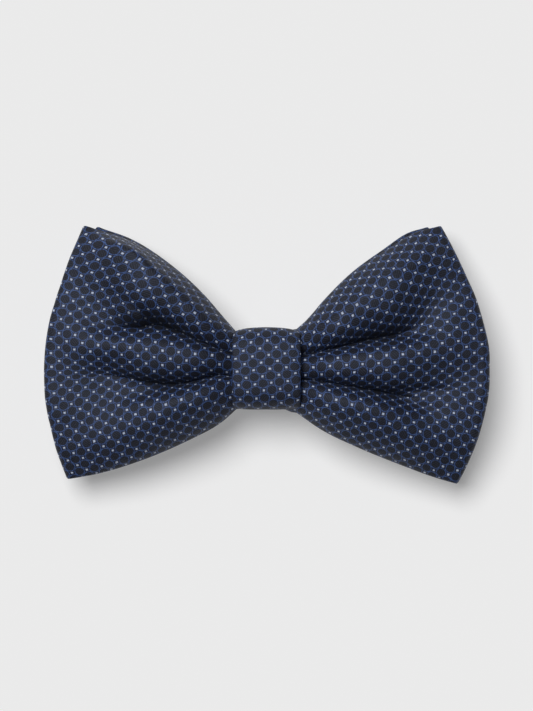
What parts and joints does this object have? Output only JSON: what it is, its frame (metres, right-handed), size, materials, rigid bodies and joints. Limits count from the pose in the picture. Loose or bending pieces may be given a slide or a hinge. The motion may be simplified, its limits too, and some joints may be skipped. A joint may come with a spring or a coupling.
{
  "type": "bow tie",
  "caption": "Pre-tied bow tie lying flat: a pleated front bow over a rear bow, a knot band, and a folded neckband with a hook, an eye and a slider.",
  "frame": {"origin": "on the resting plane, under the middle of the bow's width and height", "axes": "+X along the bow towards the wing on the viewer's right, +Y towards the top edge of the wings, +Z out of the bow's front"},
  "size_m": [0.12, 0.0697, 0.0219],
  "materials": {
    "patterned_silk": "navy silk woven with a small repeat of light dots and dark rounds, soft sheen",
    "canvas": "undyed matte interlining",
    "thread": "navy sewing thread",
    "nickel": "bright nickel plate"
  },
  "bodies": {
    "bow": {"rear_bow_silk": "patterned_silk", "rear_bow_interlining": "canvas", "front_bow_silk": "patterned_silk", "front_bow_interlining": "canvas", "knot_wrap": "patterned_silk", "gather_thread": "thread", "knot_padding": "canvas", "knot_tack": "thread", "neckband_centre": "patterned_silk"},
    "left_second": {"left_band_second_run": "patterned_silk"},
    "left_third": {"left_band_third_run": "patterned_silk"},
    "left_end": {"left_band_end_run": "patterned_silk", "left_loop_bartack": "thread"},
    "eye": {"eye": "nickel"},
    "right_second": {"right_band_second_run": "patterned_silk"},
    "right_third": {"right_band_third_run": "patterned_silk"},
    "right_end": {"right_band_end_run": "patterned_silk"},
    "adjuster_loop": {"adjuster_turned_loop": "patterned_silk"},
    "hook": {"hook": "nickel"},
    "slider": {"slider": "nickel", "slider_end_loop": "patterned_silk", "slider_loop_bartack": "thread"}
  },
  "joints": [
    {"name": "left_unfold", "type": "hinge", "parent": "bow", "child": "left_second", "pos_m": [-0.0555, -0.0036, 0.00868], "axis": [0, 1, 0], "range_deg": [0, 180]},
    {"name": "left_third_fold", "type": "hinge", "parent": "left_second", "child": "left_third", "pos_m": [-0.0032, -0.0036, 0.00592], "axis": [0, -1, 0], "range_deg": [0, 180]},
    {"name": "left_end_fold", "type": "hinge", "parent": "left_third", "child": "left_end", "pos_m": [-0.0555, -0.0036, 0.00245], "axis": [0, 1, 0], "range_deg": [0, 180]},
    {"name": "eye_swivel", "type": "hinge", "parent": "left_end", "child": "eye", "pos_m": [-0.0145, -0.0036, 0.00145], "axis": [0, 1, 0], "range_deg": [0, 100]},
    {"name": "right_unfold", "type": "hinge", "parent": "bow", "child": "right_second", "pos_m": [0.0555, -0.0036, 0.00868], "axis": [0, -1, 0], "range_deg": [0, 180]},
    {"name": "right_third_fold", "type": "hinge", "parent": "right_second", "child": "right_third", "pos_m": [0.0032, -0.0036, 0.00677], "axis": [0, 1, 0], "range_deg": [0, 180]},
    {"name": "right_end_fold", "type": "hinge", "parent": "right_third", "child": "right_end", "pos_m": [0.0555, -0.0036, 0.0049], "axis": [0, -1, 0], "range_deg": [0, 180]},
    {"name": "adjust", "type": "slide", "parent": "right_end", "child": "adjuster_loop", "axis": [1, 0, 0], "range_m": [0, 0.01], "deforming": ["right_band_end_run"]},
    {"name": "slider_travel", "type": "slide", "parent": "adjuster_loop", "child": "slider", "axis": [1, 0, 0], "range_m": [0, 0.01]},
    {"name": "hook_swivel", "type": "hinge", "parent": "adjuster_loop", "child": "hook", "pos_m": [0.022, -0.0036, 0.0021], "axis": [0, -1, 0], "range_deg": [0, 100]}
  ],
  "couplings": [
    {"joint": "left_third_fold", "follows": "left_unfold", "ratio": 1},
    {"joint": "left_end_fold", "follows": "left_unfold", "ratio": 1},
    {"joint": "right_third_fold", "follows": "right_unfold", "ratio": 1},
    {"joint": "right_end_fold", "follows": "right_unfold", "ratio": 1},
    {"joint": "slider_travel", "follows": "adjust", "ratio": 1}
  ]
}
